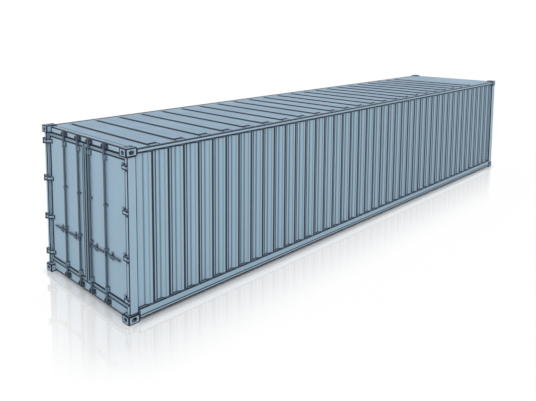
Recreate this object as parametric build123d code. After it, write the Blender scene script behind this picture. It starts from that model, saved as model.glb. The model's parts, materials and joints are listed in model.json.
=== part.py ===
from build123d import *
import math
import os

# A steel freight container, 12.2 m long and 2.44 m wide and high, with two hinged doors in one end.
# Millimetres. X runs across, Y along and Z up; the doors are at the -Y end and z = 0 is the underside
# of the corner castings. "Depth" is the distance inwards from the plane of an end's corner castings.

# Overall size
length = 12192.0
width = 2438.0
height = 2438.0

# Flat sides given to each small round piece or hole that repeats many times
round_sides = 12

# Corner castings: hollow blocks with an oblong hole in each of their three outer faces
casting_length = 178.0
casting_width = 162.0
casting_height = 118.0
casting_wall = 12.0
casting_plate = 28.0
casting_chamfer = 6.0
lock_hole_length = 124.0
lock_hole_width = 63.5
lock_hole_from_end = 103.5
lock_hole_from_side = 89.5
side_hole_length = 79.5
end_hole_length = 70.0
side_hole_height = 51.0
side_hole_from_plate = 62.0

# Door end frame
post_front = 32.0
post_side_recess = 24.0
post_width = 55.0
post_wall = 6.0
post_radius = 8.0
face_depth = 77.0
header_tube_depth = 70.0
header_wall = 4.0
header_top_gap = 24.0
sill_bottom = 30.0
sill_top = 175.0
sill_wall = 4.5

# Closed end frame
back_recess = 12.0
back_post_return = 48.0
back_post_wall = 6.0
back_tube_depth = 60.0

# Side rails
side_recess = 12.0
top_rail_width = 60.0
top_rail_height = 62.0
top_rail_wall = 3.0
bottom_rail_bottom = 38.0
bottom_rail_flange = 50.0
bottom_rail_foot = 45.0
bottom_rail_wall = 4.5
bottom_rail_band = 46.0
bottom_rail_step = 9.0

# Corrugated walls
wall_sheet = 2.0
wall_fold_depth = 36.0
wall_pitch = 278.0
wall_outer_flat = 72.0
wall_inner_flat = 70.0
back_pitch = 250.0
back_outer_flat = 95.0
back_inner_flat = 95.0

# Roof: a sheet with raised ribs that run across and fade out at their ends
roof_sheet = 2.0
rib_count = 23
rib_height = 16.0
rib_foot = 200.0
rib_crown = 152.0
rib_end_run = 30.0
rib_clear_left = 130.0
rib_clear_right = 25.0
roof_flat_at_doors = 320.0
roof_flat_at_back = 1310.0

# Floor
floor_thickness = 28.0
member_flange = 45.0
member_wall = 4.0
member_count = 30

# Door leaves and their rubber seals
leaf_thickness = 50.0
leaf_stile = 100.0
leaf_wall = 3.0
leaf_panel = 3.0
seal_gap = 5.0
seal_edge = 25.0
seal_face = 30.0
seal_thickness = 4.0
seal_lip_depth = 20.0
seal_bead_width = 6.0
seal_bead_height = 3.0
seal_bead_places = (8.0, 26.0, 44.0)

# Hinges
pin_inset = 14.0
pin_radius = 8.0
pin_clearance = 0.5
knuckle_radius = 13.0
strap_thickness = 10.0
strap_height = 70.0
strap_seat = 56.0
strap_seat_from_post = 74.0
strap_flat = 110.0
strap_foot = 8.0
strap_heel = 20.0
lug_thickness = 14.0
lug_gap = 1.0
lug_seat = 35.0
hinges_from_bottom = (121.0, 716.0)
hinges_from_top = (727.0, 110.0)

# Locking bars, handles and keepers
bar_offsets = (163.0, 588.0)
bar_depth = 51.0
bar_radius = 17.0
bar_wall = 3.2
cam_hub_radius = 21.0
cam_hub_height = 60.0
cam_reach = 30.0
cam_nose_width = 14.0
cam_nose_height = 34.0
cam_mouth = 10.0
cam_mouth_depth = 9.0
keeper_gap = 8.0
keeper_plate = 10.0
keeper_height = 78.0
keeper_nose_height = 40.0
keeper_front = 30.0
keeper_foot = 28.0
keeper_foot_thickness = 8.0
guide_clearance = 0.5
guide_wall = 5.0
guide_foot_width = 92.0
guide_foot_thickness = 6.0
guide_end_height = 85.0
guide_middle_height = 30.0
guide_over_handle = 63.0
guide_from_top = 764.0
handle_height = 813.0
handle_length = 365.0
handle_thickness = 12.0
handle_depth = 30.0
handle_hub_radius = 21.0
handle_hub_height = 56.0
handle_fit = 0.3
catch_from_bar = 145.0
catch_width = 38.0
catch_plate = 5.0
catch_height = 124.0
catch_shelf = 8.0
catch_gap = 6.0
catch_hood = 16.0

# Places worked out from the sizes above
half_length = length / 2
half_width = width / 2
casting_top = casting_height
casting_underside = height - casting_height
casting_inner = half_width - casting_width
frame_end = half_length - casting_length
post_outer = half_width - post_side_recess
post_inner = post_outer - post_width
side_outer = half_width - side_recess
header_top = height - header_top_gap
rail_top = header_top - roof_sheet
rail_bottom = rail_top - top_rail_height
floor_top = sill_top
floor_bottom = floor_top - floor_thickness
bottom_rail_top = sill_top
rail_inner = side_outer - bottom_rail_flange
rail_web = side_outer - bottom_rail_wall
member_bottom = bottom_rail_bottom + bottom_rail_wall
wall_inner_face = side_outer - wall_fold_depth
seal_outer = post_inner - seal_gap
leaf_outer = seal_outer - seal_edge
leaf_inner = seal_gap + seal_edge
seal_bottom = sill_top + seal_gap
seal_top = casting_underside - seal_gap
leaf_bottom = seal_bottom + seal_edge
leaf_top = seal_top - seal_edge
hinge_heights = [leaf_bottom + up for up in hinges_from_bottom]
hinge_heights += [leaf_top - down for down in hinges_from_top]
guide_middles = (handle_height + guide_over_handle, leaf_top - guide_from_top)
pin_x = half_width - pin_inset
sill_middle = (sill_bottom + sill_top) / 2
header_middle = (casting_underside + header_top) / 2


def door_y(depth):
    return depth - half_length


def back_y(depth):
    return half_length - depth


def block(x, y, z):
    """A box between two limits along each axis."""
    centre = [(low + high) / 2 for low, high in (x, y, z)]
    size = [abs(high - low) for low, high in (x, y, z)]
    return Pos(*centre) * Box(*size)


def outline(points):
    """A flat face inside points, which are put in anticlockwise order first."""
    doubled = sum(a[0] * b[1] - b[0] * a[1] for a, b in zip(points, points[1:] + points[:1]))
    return Polygon(*(points if doubled > 0 else points[::-1]), align=None)


def across(points, x):
    """A prism along X from an outline of (y, z) points."""
    return extrude(Plane.YZ.offset(x[0]) * outline(points), x[1] - x[0], dir=(1, 0, 0))


def along(points, y):
    """A prism along Y from an outline of (x, z) points."""
    return extrude(Plane.XZ.offset(-y[0]) * outline(points), y[1] - y[0], dir=(0, 1, 0))


def upright(plan, z):
    """A prism along Z from a face in the XY plane."""
    return extrude(Pos(0, 0, z[0]) * plan, z[1] - z[0], dir=(0, 0, 1))


def drum(x, y, radius, around=False):
    """A circle drawn with flat sides, which lie inside it or around it; four of them face X and Y."""
    half_turn = 180 / round_sides
    return Pos(x, y) * RegularPolygon(radius, round_sides, major_radius=not around, rotation=half_turn)


def bent_sheet(points, thickness):
    """The outline of a sheet folded along points, with its thickness to the left of the way along."""
    normals = []
    for (x0, y0), (x1, y1) in zip(points, points[1:]):
        run = math.hypot(x1 - x0, y1 - y0)
        normals.append(((y0 - y1) / run, (x1 - x0) / run))
    far = []
    for i, (x, y) in enumerate(points):
        a = normals[max(i - 1, 0)]
        b = normals[min(i, len(normals) - 1)]
        mitre = thickness / (1 + a[0] * b[0] + a[1] * b[1])
        far.append((x + mitre * (a[0] + b[0]), y + mitre * (a[1] + b[1])))
    return points + far[::-1]


def corrugation(run, pitch, outer_flat, inner_flat, depth):
    """Fold points (along, out) of a trapezoidal sheet that starts and ends on its inner flat."""
    slope = (pitch - outer_flat - inner_flat) / 2
    count = int((run - inner_flat) // pitch)
    margin = (run - count * pitch + inner_flat) / 2
    points = [(0.0, 0.0)]
    for i in range(count):
        start = margin + i * pitch
        points += [(start, 0.0), (start + slope, depth)]
        points += [(start + slope + outer_flat, depth), (start + 2 * slope + outer_flat, 0.0)]
    return points + [(run, 0.0)]


def to_side(shape, side):
    return shape if side > 0 else mirror(shape, about=Plane.YZ)


def save(node, *solids):
    whole = solids[0] if len(solids) == 1 else Compound(children=list(solids))
    export_step(whole, f"parts/{node}.step")


def slot_cut(normal, centre, long_size, short_size, turn=0):
    """A cutter of oblong section, centred on a face and running inwards along its normal."""
    plane = Plane(origin=centre, z_dir=normal, x_dir=(0, 1, 0) if turn == 0 else (1, 0, 0))
    straight = long_size - short_size
    section = Rectangle(straight, short_size)
    section += [drum(way * straight / 2, 0, short_size / 2, around=True) for way in (-1, 1)]
    return extrude(plane * section, casting_plate + casting_wall, both=True)


def corner_casting(side, end, top):
    """A hollow corner block, drawn for the corner at +X, +Y and +Z and mirrored to its own."""
    x0, y0, z0 = half_width, half_length, height
    outer = block((x0 - casting_width, x0), (y0 - casting_length, y0), (z0 - casting_height, z0))
    eased = [e for e in outer.edges()
             if sum((e.center().X > x0 - 1, e.center().Y > y0 - 1, e.center().Z > z0 - 1)) == 2]
    outer = chamfer(eased, casting_chamfer)
    hollow = block((x0 - casting_width + casting_wall, x0 - casting_wall),
                   (y0 - casting_length + casting_wall, y0 - casting_wall),
                   (z0 - casting_height + casting_wall, z0 - casting_plate))
    hole_z = z0 - side_hole_from_plate
    top_hole = slot_cut((0, 0, 1), (x0 - lock_hole_from_side, y0 - lock_hole_from_end, z0),
                        lock_hole_length, lock_hole_width)
    side_hole = slot_cut((1, 0, 0), (x0, y0 - casting_length / 2, hole_z), side_hole_length, side_hole_height)
    end_hole = slot_cut((0, 1, 0), (x0 - casting_width / 2, y0, hole_z), end_hole_length, side_hole_height, 1)
    casting = outer - hollow - top_hole - side_hole - end_hole
    if side < 0:
        casting = mirror(casting, about=Plane.YZ)
    if end < 0:
        casting = mirror(casting, about=Plane.XZ)
    if not top:
        casting = mirror(casting, about=Plane.XY.offset(height / 2))
    return casting


def castings():
    for side_name, side in (("left", -1), ("right", 1)):
        for end_name, end in (("door", -1), ("back", 1)):
            for level, top in (("bottom", False), ("top", True)):
                save(f"casting_{end_name}_{side_name}_{level}", corner_casting(side, end, top))


def door_post(side):
    """A hollow post between two castings, set back so that a door can fold round it."""
    x = (post_outer + post_inner) / 2
    depth = casting_length - post_front
    y = door_y(post_front + depth / 2)
    tube = RectangleRounded(post_width, depth, post_radius)
    bore = Rectangle(post_width - 2 * post_wall, depth - 2 * post_wall)
    post = upright(Pos(x, y) * (tube - bore), (casting_top, casting_underside))
    return to_side(post, side)


def back_post(side):
    """A pressed post: a side face, an end face and a return at each edge for the walls."""
    rear = back_y(back_recess)
    points = [(rail_inner, frame_end), (side_outer, frame_end), (side_outer, rear),
              (casting_inner, rear), (casting_inner, rear - back_post_return)]
    section = outline(bent_sheet(points, back_post_wall))
    return to_side(upright(section, (casting_top, casting_underside)), side)


def box_tube(y, z, wall, x):
    """A square-cornered tube along X."""
    outer = block(x, y, z)
    inner = block(x, (y[0] + wall, y[1] - wall), (z[0] + wall, z[1] - wall))
    return outer - inner


def door_header():
    """A tube over the doors, and the plate that closes the roof between the castings."""
    x = (-casting_inner, casting_inner)
    y = (door_y(face_depth), door_y(face_depth + header_tube_depth))
    tube = box_tube(y, (casting_underside, header_top), header_wall, x)
    return tube + block(x, (y[1], -frame_end), (header_top - header_wall, header_top))


def back_header():
    x = (-casting_inner, casting_inner)
    y = (back_y(back_recess + back_tube_depth), back_y(back_recess))
    tube = box_tube(y, (casting_underside, header_top), header_wall, x)
    return tube + block(x, (frame_end, y[0]), (header_top - header_wall, header_top))


def door_sill():
    """A channel below the doors, open towards the floor, with an end piece over each casting."""
    front = door_y(face_depth)
    rear = -frame_end
    points = [(rear, sill_top), (front, sill_top), (front, sill_bottom), (rear, sill_bottom)]
    middle = across(bent_sheet(points, sill_wall), (-casting_inner, casting_inner))
    end = block((casting_inner, post_inner), (front, rear), (casting_top, sill_top))
    return [middle, end, to_side(end, -1)]


def back_sill():
    y = (back_y(back_recess + back_tube_depth), back_y(back_recess))
    return box_tube(y, (sill_bottom, bottom_rail_top), sill_wall, (-casting_inner, casting_inner))


def top_rail(side):
    x = (side_outer - top_rail_width, side_outer)
    outer = block(x, (-frame_end, frame_end), (rail_bottom, rail_top))
    inner = block((x[0] + top_rail_wall, x[1] - top_rail_wall), (-frame_end, frame_end),
                  (rail_bottom + top_rail_wall, rail_top - top_rail_wall))
    return to_side(outer - inner, side)


def bottom_rail(side):
    """A channel open to the inside, whose web steps out to a band along its lower edge."""
    band_face = side_outer + bottom_rail_step
    band_top = bottom_rail_bottom + bottom_rail_band
    points = [(band_face - bottom_rail_foot, bottom_rail_bottom), (band_face, bottom_rail_bottom),
              (band_face, band_top - bottom_rail_step), (side_outer, band_top),
              (side_outer, bottom_rail_top), (rail_inner, bottom_rail_top)]
    section = bent_sheet(points, bottom_rail_wall)
    return to_side(along(section, (-frame_end, frame_end)), side)


def side_wall(side):
    folds = corrugation(2 * frame_end, wall_pitch, wall_outer_flat, wall_inner_flat,
                        wall_fold_depth - wall_sheet)
    points = [(wall_inner_face + wall_sheet + out, run - frame_end) for run, out in folds]
    return to_side(upright(outline(bent_sheet(points, wall_sheet)), (bottom_rail_top, rail_bottom)), side)


def back_wall():
    folds = corrugation(2 * casting_inner, back_pitch, back_outer_flat, back_inner_flat,
                        wall_fold_depth - wall_sheet)
    inner = back_y(back_recess + wall_fold_depth) + wall_sheet
    points = [(run - casting_inner, inner + out) for run, out in folds]
    return upright(outline(bent_sheet(points, -wall_sheet)), (bottom_rail_top, casting_underside))


def rib(x, y, foot, drop):
    """A raised rib across the roof, its ends sloped down to the sheet."""
    crown = foot * rib_crown / rib_foot
    base = rail_top + roof_sheet - drop
    profile = [(y - foot / 2, base), (y - crown / 2, base + rib_height),
               (y + crown / 2, base + rib_height), (y + foot / 2, base)]
    ends = [(x[0], base), (x[0] + rib_end_run, base + rib_height),
            (x[1] - rib_end_run, base + rib_height), (x[1], base)]
    return across(profile, x) & along(ends, (y - foot, y + foot))


def roof():
    sheet = block((-side_outer, side_outer), (-frame_end, frame_end), (rail_top, header_top))
    first = -frame_end + roof_flat_at_doors
    last = frame_end - roof_flat_at_back
    pitch = (last - first) / (rib_count - 1)
    x = (-side_outer + top_rail_width + rib_clear_left, side_outer - top_rail_width - rib_clear_right)
    inner_x = (x[0] + roof_sheet, x[1] - roof_sheet)
    places = [first + i * pitch for i in range(rib_count)]
    ribs = [rib(x, y, rib_foot, 0) for y in places]
    hollows = [rib(inner_x, y, rib_foot - 2 * roof_sheet, roof_sheet) for y in places]
    return sheet + ribs - hollows


def floor():
    y = (-frame_end, back_y(back_recess + back_tube_depth))
    return block((-rail_inner, rail_inner), y, (floor_bottom, floor_top))


def cross_members():
    """Channels between the webs of the bottom rails, standing on the rails' feet under the floor."""
    first = -frame_end + 2 * member_flange
    pitch = -2 * first / (member_count - 1)
    half_flange = member_flange / 2
    members = []
    for i in range(member_count):
        y = first + i * pitch
        points = [(y + half_flange, floor_bottom), (y - half_flange, floor_bottom),
                  (y - half_flange, member_bottom), (y + half_flange, member_bottom)]
        members.append(across(bent_sheet(points, member_wall), (-rail_web, rail_web)))
    return members


def hinge_lugs(side):
    """Two lugs on the post's front above and below each strap, and the pin through both."""
    pin_y = door_y(pin_inset)
    waist = knuckle_radius * math.sqrt(0.5)
    plan = drum(pin_x, pin_y, knuckle_radius)
    plan += outline([(post_outer - lug_seat, door_y(post_front)), (post_outer, door_y(post_front)),
                     (pin_x + waist, pin_y + waist), (pin_x - waist, pin_y - waist)])
    lugs = []
    for z in hinge_heights:
        low = z - strap_height / 2 - lug_gap - lug_thickness
        high = z + strap_height / 2 + lug_gap
        pin = upright(drum(pin_x, pin_y, pin_radius), (low, high + lug_thickness))
        pair = [upright(plan, (level, level + lug_thickness)) for level in (low, high)]
        lugs.append(to_side(pin + pair, side))
    return lugs


def hinge_straps(side):
    """Straps that run flat from the pins over the post and then bend down to the leaf's face."""
    pin_y = door_y(pin_inset)
    outside = pin_y - strap_thickness / 2
    inside = pin_y + strap_thickness / 2
    seat = door_y(face_depth)
    seat_end = post_inner - strap_seat_from_post
    seat_start = seat_end - strap_seat
    flat_end = pin_x - strap_flat
    points = [(pin_x, outside), (flat_end, outside), (seat_end, seat - strap_heel),
              (seat_start, seat - strap_foot), (seat_start, seat), (seat_end, seat),
              (seat_end, seat - strap_foot), (flat_end + strap_thickness, inside), (pin_x, inside)]
    plan = outline(points) + drum(pin_x, pin_y, knuckle_radius)
    plan -= drum(pin_x, pin_y, pin_radius + pin_clearance, around=True)
    half = strap_height / 2
    return [to_side(upright(plan, (z - half, z + half)), side) for z in hinge_heights]


def door_frame(side):
    """Four hollow members round the leaf."""
    y = (door_y(face_depth), door_y(face_depth + leaf_thickness))
    outer = block((leaf_inner, leaf_outer), y, (leaf_bottom, leaf_top))
    opening = block((leaf_inner + leaf_stile, leaf_outer - leaf_stile), y,
                    (leaf_bottom + leaf_stile, leaf_top - leaf_stile))
    core = block((leaf_inner + leaf_wall, leaf_outer - leaf_wall), (y[0] + leaf_wall, y[1] - leaf_wall),
                 (leaf_bottom + leaf_wall, leaf_top - leaf_wall))
    solid_middle = block((leaf_inner + leaf_stile - leaf_wall, leaf_outer - leaf_stile + leaf_wall), y,
                         (leaf_bottom + leaf_stile - leaf_wall, leaf_top - leaf_stile + leaf_wall))
    return to_side(outer - opening - (core - solid_middle), side)


def door_panel(side):
    y = door_y(face_depth)
    panel = block((leaf_inner + leaf_stile, leaf_outer - leaf_stile), (y, y + leaf_panel),
                  (leaf_bottom + leaf_stile, leaf_top - leaf_stile))
    return to_side(panel, side)


def door_seal(side):
    """A rubber ring round the leaf: a face strip with raised beads and a lip at the leaf's edge."""
    front = door_y(face_depth)
    strip = (front - seal_thickness, front)
    lip = (front, front + seal_lip_depth)

    def ring(x, z, cut, y):
        outer = block(x, y, z)
        return outer - block((x[0] + cut, x[1] - cut), y, (z[0] + cut, z[1] - cut))

    x = (seal_gap, seal_outer)
    z = (seal_bottom, seal_top)
    face = ring(x, z, seal_edge + seal_face, strip)
    seal = face + ring(x, z, seal_edge, lip)
    for place in seal_bead_places:
        bead_x = (x[0] + place, x[1] - place)
        bead_z = (z[0] + place, z[1] - place)
        seal += ring(bead_x, bead_z, seal_bead_width, (strip[0] - seal_bead_height, strip[0]))
    return to_side(seal, side)


def bar_guides(side):
    """Saddles bent over each bar that hold it to the leaf and let it turn."""
    front = door_y(face_depth)
    bar_y = door_y(bar_depth)
    low = leaf_bottom + seal_face + seal_gap
    high = leaf_top - seal_face - seal_gap
    spans = [(low, low + guide_end_height), (high - guide_end_height, high)]
    spans += [(z - guide_middle_height / 2, z + guide_middle_height / 2) for z in guide_middles]
    guides = []
    bore = bar_radius + guide_clearance
    half = bore + guide_wall
    foot = guide_foot_width / 2
    foot_face = front - guide_foot_thickness
    for x in bar_offsets:
        plan = outline([(x - half / 2, bar_y - half), (x + half / 2, bar_y - half),
                        (x + half, bar_y - half / 2), (x + half, foot_face), (x + foot, foot_face),
                        (x + foot, front), (x - foot, front), (x - foot, foot_face),
                        (x - half, foot_face), (x - half, bar_y - half / 2)])
        plan -= drum(x, bar_y, bore, around=True)
        plan -= outline([(x - bore, bar_y), (x + bore, bar_y), (x + bore, front), (x - bore, front)])
        guides += [to_side(upright(plan, span), side) for span in spans]
    return guides


def oblong(x, z, long_size, short_size, y, turn=0):
    """A plate with round ends in a plane across Y, centred on x and z and turned about its centre."""
    return extrude(Plane.XZ.offset(-y[0]) * Pos(x, z) * Rot(0, 0, turn) * SlotOverall(long_size, short_size),
                   y[1] - y[0], dir=(0, 1, 0))


def handle_catches(side):
    """A plate on the leaf behind each handle, with a shelf below the handle and a short hood above it."""
    front = door_y(face_depth)
    clear = handle_depth / 2 + catch_gap
    catches = []
    for bar_x in bar_offsets:
        middle = bar_x + catch_from_bar
        x = (middle - catch_width / 2, middle + catch_width / 2)
        plate = oblong(middle, handle_height, catch_height, catch_width, (front - catch_plate, front), 90)
        shelf_top = handle_height - clear
        shelf = block(x, (door_y(bar_depth - handle_thickness), front), (shelf_top - catch_shelf, shelf_top))
        hood_bottom = handle_height + clear
        hood = block(x, (front - catch_hood, front), (hood_bottom, hood_bottom + catch_shelf))
        catches.append(to_side(plate + shelf + hood, side))
    return catches


def lock_bar(x, side):
    """A tube between two forged cams, each with a split nose turned towards the hinges when locked."""
    y = door_y(bar_depth)
    low = sill_middle + cam_hub_height / 2
    high = header_middle - cam_hub_height / 2
    tube = Circle(bar_radius) - Circle(bar_radius - bar_wall)
    bar = upright(Pos(x, y) * tube, (low, high))
    half = cam_nose_width / 2
    root = cam_hub_radius * math.cos(math.pi / round_sides)
    plan = outline([(x, y - root), (x + cam_reach, y - half), (x + cam_reach, y + half), (x, y + root)])
    for z in (sill_middle, header_middle):
        nose = upright(plan, (z - cam_nose_height / 2, z + cam_nose_height / 2))
        mouth_x = (x + cam_reach - cam_mouth_depth, x + cam_reach)
        nose -= block(mouth_x, (y - root, y + root), (z - cam_mouth / 2, z + cam_mouth / 2))
        hub = upright(drum(x, y, cam_hub_radius), (z - cam_hub_height / 2, z + cam_hub_height / 2))
        bar += nose + hub
    return to_side(bar, side)


def lock_handle(x, side):
    """A flat lever on a collar, pointing towards the hinges when locked."""
    y = door_y(bar_depth)
    arm = oblong(x + handle_length / 2, handle_height, handle_length, handle_depth,
                 (y - handle_thickness / 2, y + handle_thickness / 2))
    z = (handle_height - handle_hub_height / 2, handle_height + handle_hub_height / 2)
    collar = upright(drum(x, y, handle_hub_radius), z)
    bore = upright(Pos(x, y) * Circle(bar_radius + handle_fit), z)
    return to_side(arm + collar - bore, side)


def keepers():
    """A cheek with a foot on the header and on the sill, either side of each cam."""
    front = door_y(face_depth)
    nose = door_y(keeper_front)
    foot = (front - keeper_foot_thickness, front)
    half = keeper_height / 2
    half_nose = keeper_nose_height / 2
    keepers = []
    for side in (-1, 1):
        for x in bar_offsets:
            for z in (sill_middle, header_middle):
                points = [(front, z - half), (front, z + half), (foot[0], z + half), (nose, z + half_nose),
                          (nose, z - half_nose), (foot[0], z - half)]
                for way in (-1, 1):
                    near = x + way * (cam_reach + keeper_gap)
                    cheek = across(points, sorted((near, near + way * keeper_plate)))
                    span = sorted((near, near + way * (keeper_plate + keeper_foot)))
                    keepers.append(to_side(cheek + block(span, foot, (z - half, z + half)), side))
    return keepers


def build():
    os.makedirs("parts", exist_ok=True)
    castings()
    save("door_header", door_header())
    save("door_sill", *door_sill())
    save("back_header", back_header())
    save("back_sill", back_sill())
    save("back_wall", back_wall())
    save("roof", roof())
    save("floor", floor())
    save("cross_members", *cross_members())
    save("keepers", *keepers())
    save("hinge_lugs", *hinge_lugs(-1), *hinge_lugs(1))
    for name, side in (("left", -1), ("right", 1)):
        save(f"door_post_{name}", door_post(side))
        save(f"back_post_{name}", back_post(side))
        save(f"top_rail_{name}", top_rail(side))
        save(f"bottom_rail_{name}", bottom_rail(side))
        save(f"side_wall_{name}", side_wall(side))
        save(f"door_frame_{name}", door_frame(side))
        save(f"door_panel_{name}", door_panel(side))
        save(f"door_seal_{name}", door_seal(side))
        save(f"hinge_straps_{name}", *hinge_straps(side))
        save(f"bar_guides_{name}", *bar_guides(side))
        save(f"handle_catches_{name}", *handle_catches(side))
        for place, x in zip(("inner", "outer"), bar_offsets):
            save(f"lock_bar_{name}_{place}", lock_bar(x, side))
            save(f"lock_handle_{name}_{place}", lock_handle(x, side))


build()
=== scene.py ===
import json
import math

import bmesh
import bpy
import numpy as np
from mathutils import Euler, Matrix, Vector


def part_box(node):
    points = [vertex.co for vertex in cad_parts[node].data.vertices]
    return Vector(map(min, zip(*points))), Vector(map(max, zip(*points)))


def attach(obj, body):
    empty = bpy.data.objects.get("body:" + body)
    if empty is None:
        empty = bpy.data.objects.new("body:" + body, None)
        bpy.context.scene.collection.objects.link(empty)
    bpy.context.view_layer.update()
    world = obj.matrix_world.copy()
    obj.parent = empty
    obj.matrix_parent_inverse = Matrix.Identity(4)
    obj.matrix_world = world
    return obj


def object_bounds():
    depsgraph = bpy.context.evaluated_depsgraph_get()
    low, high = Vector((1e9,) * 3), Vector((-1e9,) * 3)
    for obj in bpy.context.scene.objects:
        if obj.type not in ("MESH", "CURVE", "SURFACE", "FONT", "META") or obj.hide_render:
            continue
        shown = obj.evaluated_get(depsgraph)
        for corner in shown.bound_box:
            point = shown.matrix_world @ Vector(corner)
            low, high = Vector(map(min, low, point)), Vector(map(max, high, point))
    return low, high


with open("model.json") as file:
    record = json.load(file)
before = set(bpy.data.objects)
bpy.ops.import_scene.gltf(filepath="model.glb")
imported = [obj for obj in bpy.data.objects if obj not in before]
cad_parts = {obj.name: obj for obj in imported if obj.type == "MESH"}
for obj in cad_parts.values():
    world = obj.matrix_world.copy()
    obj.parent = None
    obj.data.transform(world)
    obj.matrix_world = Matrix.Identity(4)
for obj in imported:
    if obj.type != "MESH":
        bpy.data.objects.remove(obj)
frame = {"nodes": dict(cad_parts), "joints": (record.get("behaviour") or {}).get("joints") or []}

# A long freight container in blue-grey paint, seen from its door end. Metres, in the frame of the model:
# X runs across, Y along from the doors to the closed end, and Z up from the feet of the corner castings.

cad_low, cad_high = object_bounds()
MIDDLE_HEIGHT = float(cad_high[2]) / 2
AXES = {joint["child"]: joint["pos_m"] for joint in frame["joints"]}
UP = (0, 0, 1)
DOWN = (0, 0, -1)
ALONG = (0, 1, 0)
ACROSS = (1, 0, 0)
DOORWARDS = (0, -1, 0)
SIDES = {"left": -1, "right": 1}
FRAME_ENDS = ("door_header", "door_sill", "back_header", "back_sill")

# Colours as they look on screen, red, green and blue from 0 to 255, and white as light
BODY_BLUE = (150, 177, 195)
GEAR_BLUE = (100, 120, 135)
BAR_BLUE = (80, 96, 111)
INK = (30, 34, 50)
RUBBER_GREY = (140, 165, 182)
PLY_BROWN = (150, 112, 78)
PLY_JOINT = (62, 44, 32)
BARE_STEEL = (150, 158, 164)
WHITE = (1, 1, 1, 1)

# Paint: how many patches a metre its pebbled skin has and how deep they are, the shader's specular level,
# and the factors of painted shade that darken it where it faces the sky, against the extra light from above
PAINT_GRAIN = 260.0
PAINT_DEPTH = 0.00025
GLOSS = 0.3
SKY_SHADE = (0.87, 0.89, 0.92)

# Folds of the side walls and the closed end, as they are pressed: pitch, outer flat and inner flat; and how
# thick their sheet is
WALL_FOLDS = (0.278, 0.072, 0.070)
BACK_FOLDS = (0.250, 0.095, 0.095)
SHEET = 0.002

# Roof: flat lengths before the first rib's middle and after the last one's, the ribs' number, the middle of
# a rib's sloped side from the rib's own middle, and what is clear at the left and right ends of the ribs
ROOF_FLATS = (0.320, 1.310)
RIB_COUNT = 23
RIB_SLOPE = 0.088
RIB_CLEAR = (0.130, 0.025)

# Floor boards: how far their joints lie apart across and along the container
BOARD_JOINTS = (0.579, 1.16)

# Drawn lines along the edges of a box: how far one reaches from an edge along X, Y and Z, in general and on
# the door posts
LINE_REACH = (0.022, 0.019, 0.017)
POST_REACH = (0.008, 0.014, 0.017)

# Drawn lines round the edges of fittings: how far they reach, and the turns of the surface between which
# they come up, each as one less its cosine
FITTING_LINES = (0.018, (0.003, 0.020))

# Drawn lines on the roof: the reach of those at its left and right edges, and the width of one along a rib
ROOF_LINES = (0.075, 0.032)
RIB_LINE = 0.030

# Drawn lines along a fold's four edges, in the order in which they come along the wall: width, darkness,
# and how much of what the width gains moves back towards the doors
RISE_FOOT_LINE = (0.024, 0.50, 0.0)
RISE_TOP_LINE = (0.018, 0.35, 0.0)
FALL_TOP_LINE = (0.044, 1.0, 0.5)
FALL_FOOT_LINE = (0.026, 0.85, 0.0)

# From the doors to the closed end, lines on the side walls and along the ribs grow wider by this factor,
# and those on the side walls darker as well
LINE_GROWTH = 1.6

# Drawn lines on the hinge straps: the reach of those along the edges; then the place, from a strap's outer
# end, and the width of the one at its bend and of the one beside its knuckle
STRAP_RIM = 0.021
BEND_PLACE = 0.114
BEND_LINE = 0.023
KNUCKLE_PLACE = 0.030
KNUCKLE_LINE = 0.017

# Drawn lines on the leaves: the width of the joint round the rubber, and the reach of those along the
# rubber's outer and inner rims
LEAF_JOINT = 0.017
SEAL_RIMS = (0.0085, 0.010)

# Hinges in the model: length of a strap's seat on the leaf and thickness of its foot there, and length of a
# lug's seat on the post and thickness of a lug
STRAP_SEAT = 0.056
STRAP_FOOT = 0.008
LUG_SEAT = 0.035
LUG_THICKNESS = 0.014

# Locking gear in the model: thickness of a guide's foot and of a catch's plate, how far a cam's hub reaches
# along the bar, the bar's radius and the handle's thickness
GUIDE_FOOT = 0.006
CATCH_PLATE = 0.005
HUB_HEIGHT = 0.060
BAR_RADIUS = 0.017
HANDLE_THICKNESS = 0.012

# Bottom rails and door rubber in the model: height and depth of a rail's step, how far the rubber's face
# strip reaches in from its outer edge, and height of the beads on it
RAIL_BAND = 0.046
RAIL_STEP = 0.009
SEAL_FACE = 0.055
SEAL_BEAD = 0.003

# Weld beads: radius where walls and posts meet the frame, at rails and fittings, and at thin edges; and how
# far the sealing round a guide's plate stands off the leaf
WIDE_BEAD = 0.005
BEAD = 0.004
THIN_BEAD = 0.003
SEALING_LIFT = 0.0015

# Heads of bolts, rivets, pins and screws: radius and height
STRAP_BOLT = (0.011, 0.009)
PLATE_BOLT = (0.0075, 0.006)
SEAL_RIVET = (0.0045, 0.002)
HANDLE_RIVET = (0.008, 0.004)
PIN_HEAD = (0.0105, 0.005)
FLOOR_SCREW = (0.006, 0.0008)

# Places of the bolts: above and below the middle of a strap, a tall guide and a catch, and beside a guide's
# bar. A guide is tall from the height given last, and a lower one has its bolts at mid height.
STRAP_BOLT_RISE = 0.019
GUIDE_BOLT_RISE = 0.024
CATCH_BOLT_RISE = 0.047
GUIDE_BOLT_REACH = 0.034
TALL_GUIDE = 0.05

# Places of rivets and screws: the handle's from its bar's axis; the rubber's from its outer edges, with
# their numbers across and up; the floor's from its long edges, with their number across, and how far from
# the floor's end the last row is at least
HANDLE_RIVET_REACH = 0.042
SEAL_RIVET_INSET = 0.038
SEAL_RIVETS_ACROSS = 9
SEAL_RIVETS_UP = 17
SCREW_INSET = 0.06
SCREWS_ACROSS = 12
SCREW_MARGIN = 0.02

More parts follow.
